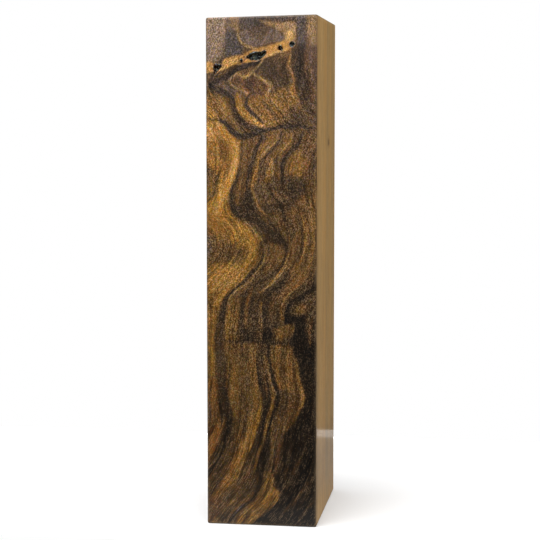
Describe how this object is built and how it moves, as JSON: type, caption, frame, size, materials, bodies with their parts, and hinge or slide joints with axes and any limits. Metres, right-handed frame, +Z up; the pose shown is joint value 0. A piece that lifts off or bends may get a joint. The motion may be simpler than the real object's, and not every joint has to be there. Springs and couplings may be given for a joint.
{
  "type": "stabilized walnut block",
  "caption": "Sawn and polished rectangular block of resin-stabilized walnut with swirled dark figure, a pale sapwood side and small bark voids, a blank for handles and turning.",
  "frame": {"origin": "middle of the bottom end, where the block stands on a surface", "axes": "+Z up along the block's length, -Y out of the figured front face, +X out of the pale sapwood side"},
  "size_m": [0.0306, 0.045, 0.14],
  "materials": {
    "stabilized_walnut": "polished, satin gloss, dark swirled figure, pale sapwood on one side"
  },
  "bodies": {
    "root": {"walnut_block": "stabilized_walnut"}
  },
  "joints": []
}
